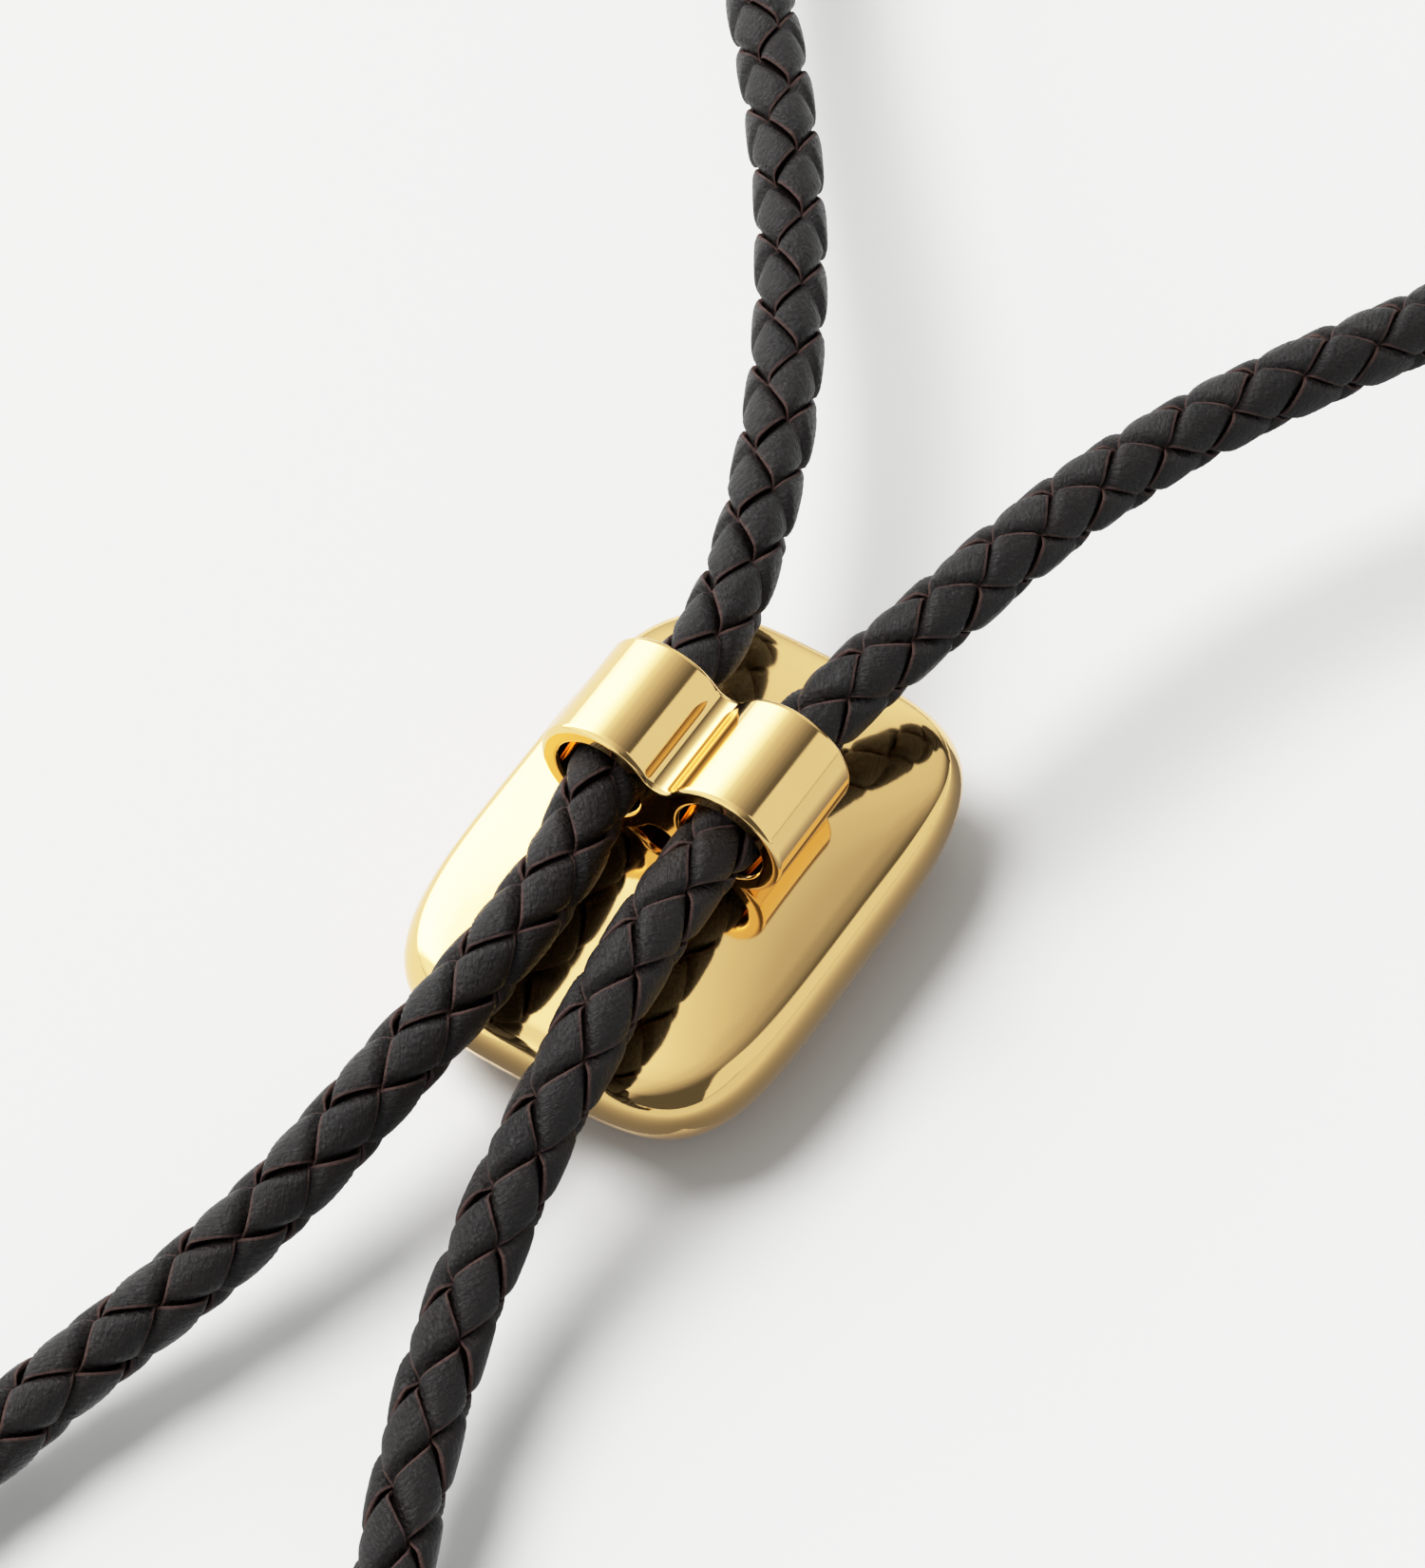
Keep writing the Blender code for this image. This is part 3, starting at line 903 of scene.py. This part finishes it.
def make_world():
    """Studio light by direction: a bright wall low on the left, a dimmer glow overhead, then
    a dark gap, and a dimmer panel low on the right."""
    world = bpy.data.worlds.new("studio")
    bpy.context.scene.world = world
    world.use_nodes = True
    n = Nodes(world.node_tree)
    direction = n.add("ShaderNodeTexCoord").outputs["Generated"]
    parts = n.add("ShaderNodeSeparateXYZ", {"Vector": direction})
    x, y, z = parts.outputs
    roll = n.math("MULTIPLY", n.math("ARCTAN2", x, z), 180 / math.pi)

    def by_roll(table, spread=0.0):
        shifted = n.math("SUBTRACT", n.math("ADD", roll, 110.0), spread)
        scaled = n.math("DIVIDE", shifted, 220.0, clamp=True)
        ramp = n.add("ShaderNodeValToRGB", {"Fac": scaled})
        ramp.color_ramp.interpolation = "EASE"
        stops = ramp.color_ramp.elements
        while len(stops) < len(table):
            stops.new(0.5)
        for stop, (angle, level) in zip(stops, table):
            stop.position = (angle + 110.0) / 220.0
            stop.color = (level, level, level, 1.0)
        return ramp.outputs["Color"]

    halo = n.math("MULTIPLY", by_roll(HALO_ROLL), HALO_LEVEL)
    halo = n.math("MULTIPLY", halo, n.span(y, -0.30, -0.10))
    halo = n.math("MULTIPLY", halo, n.span(y, 0.46, 0.62, 1.0, 0.0))
    glow = n.math("MULTIPLY", by_roll(GLOW_ROLL, n.span(y, 0.5, 0.8, 0.0, 30.0)), GLOW_LEVEL)
    glow = n.math("MULTIPLY", glow, n.span(y, 0.1, 0.5, 1.0, 0.65))
    lean = n.math("POWER", n.math("ABSOLUTE", n.math("SUBTRACT", y, 0.22)), 2.0)
    lean = n.math("MULTIPLY", lean, n.span(y, 0.15, 0.29, 160.0, 106.0))
    edge = n.math("SUBTRACT", roll, n.math("ADD", 30.0, lean))
    panel = n.math("MULTIPLY", n.span(edge, -2.0, 2.0), n.span(roll, 90.0, 97.0, PANEL_LEVEL, 0.0))
    total = n.math("ADD", n.math("ADD", halo, glow), n.math("ADD", panel, ROOM_LEVEL))
    total = n.math("MULTIPLY", total, n.span(z, 0.0, 0.05, 0.45, 1.0))
    seen = n.add("ShaderNodeLightPath").outputs["Is Camera Ray"]
    level = n.mix_colour(seen, total, (1.5, 1.5, 1.48, 1))
    shader = n.add("ShaderNodeBackground", {"Color": level, "Strength": 1.0 / TOP_LEVEL})
    out = n.add("ShaderNodeOutputWorld")
    world.node_tree.links.new(shader.outputs[0], out.inputs[0])
    world.cycles.sampling_method = "MANUAL"
    world.cycles.sample_map_resolution = 1024


def make_light(name, azimuth, elevation, width, level):
    """Soft light that casts shadows and isn't mirrored in the gold."""
    azimuth, elevation = math.radians(azimuth), math.radians(elevation)
    data = bpy.data.lights.new(name, "SUN")
    data.angle = math.radians(width)
    data.energy = level * math.pi / math.sin(elevation) / TOP_LEVEL
    obj = bpy.data.objects.new(name, data)
    bpy.context.scene.collection.objects.link(obj)
    flat = math.cos(elevation)
    toward = Vector((flat * math.cos(azimuth), flat * math.sin(azimuth), math.sin(elevation)))
    obj.rotation_euler = toward.to_track_quat("Z", "Y").to_euler()
    obj.location = toward * 0.5
    obj.visible_glossy = False


def make_painted_reflection_card():
    """Glowing card low on the right and in front, seen only by the gold: a painted reflection of the darker,
    shaded floor that the slide's steep sides mirror. Darkest beside the slide, where it paints the slide's
    shadow."""
    mat, n = new_material("painted_shade_reflection_card")
    place = n.add("ShaderNodeNewGeometry").outputs["Position"]
    x, y, _ = n.add("ShaderNodeSeparateXYZ", {"Vector": place}).outputs
    right = n.math("MAXIMUM", n.math("SUBTRACT", x, BODY_HALF_WIDTH * MM), 0.0)
    front = n.math("MAXIMUM", n.math("SUBTRACT", n.math("MULTIPLY", y, -1.0), BODY_HALF_LENGTH * MM), 0.0)
    away = n.math("SQRT", n.math("ADD", n.math("MULTIPLY", right, right), n.math("MULTIPLY", front, front)))
    # Painted shade: the card glows dimmest beside the slide, standing in for the slide's shadow on the floor.
    level = n.span(away, 0.0, 0.030, PAINTED_REFLECTION_NEAR / TOP_LEVEL, PAINTED_REFLECTION_FAR / TOP_LEVEL)
    shader = n.add("ShaderNodeEmission", {"Color": (1.0, 1.0, 1.0, 1.0), "Strength": level})
    out = n.add("ShaderNodeOutputMaterial")
    mat.node_tree.links.new(shader.outputs[0], out.inputs[0])
    w, h, far = BODY_HALF_WIDTH * MM, BODY_HALF_LENGTH * MM, 5.0
    points = [(w, -h, 0), (far, -h, 0), (far, 3.0, 0), (w, 0.08, 0), (-w, -far, 0), (far, -far, 0), (-w, -h, 0)]
    mesh = bpy.data.meshes.new("painted_shade_reflection_card")
    mesh.from_pydata(points, [], [(0, 1, 2, 3), (4, 5, 1, 0, 6)])
    obj = bpy.data.objects.new("painted_shade_reflection_card", mesh)
    bpy.context.scene.collection.objects.link(obj)
    obj.location.z = 0.00001
    mesh.materials.append(mat)
    for kind in ("camera", "diffuse", "transmission", "volume_scatter", "shadow"):
        setattr(obj, "visible_" + kind, False)


make_floor(0.375)
make_world()
make_light("key_light", *KEY_LIGHT)
make_light("fill_light", *FILL_LIGHT)
make_painted_reflection_card()


def tone_curve():
    """Soft shoulder for the highlights, the same for each colour."""
    view = bpy.context.scene.view_settings
    view.view_transform = "Standard"
    view.look = "None"
    view.exposure = 0.0
    view.gamma = 1.0
    view.use_curve_mapping = True
    mapping = view.curve_mapping
    mapping.use_clip = False
    curve = mapping.curves[3]
    knee = 0.3
    levels = [0.0, 0.15, 0.3, 0.45, 0.65, 0.9, 1.25, 1.7, 2.4, 3.4, 5.0, 8.0]
    while len(curve.points) < len(levels):
        curve.points.new(1.0, 1.0)
    for point, x in zip(curve.points, levels):
        y = x if x <= knee else knee + (1 - knee) * (1 - math.exp(-(x - knee) / (1 - knee)))
        point.location = (x / TOP_LEVEL, y)
        point.handle_type = "AUTO"
    mapping.update()


tone_curve()

bpy.context.view_layer.update()
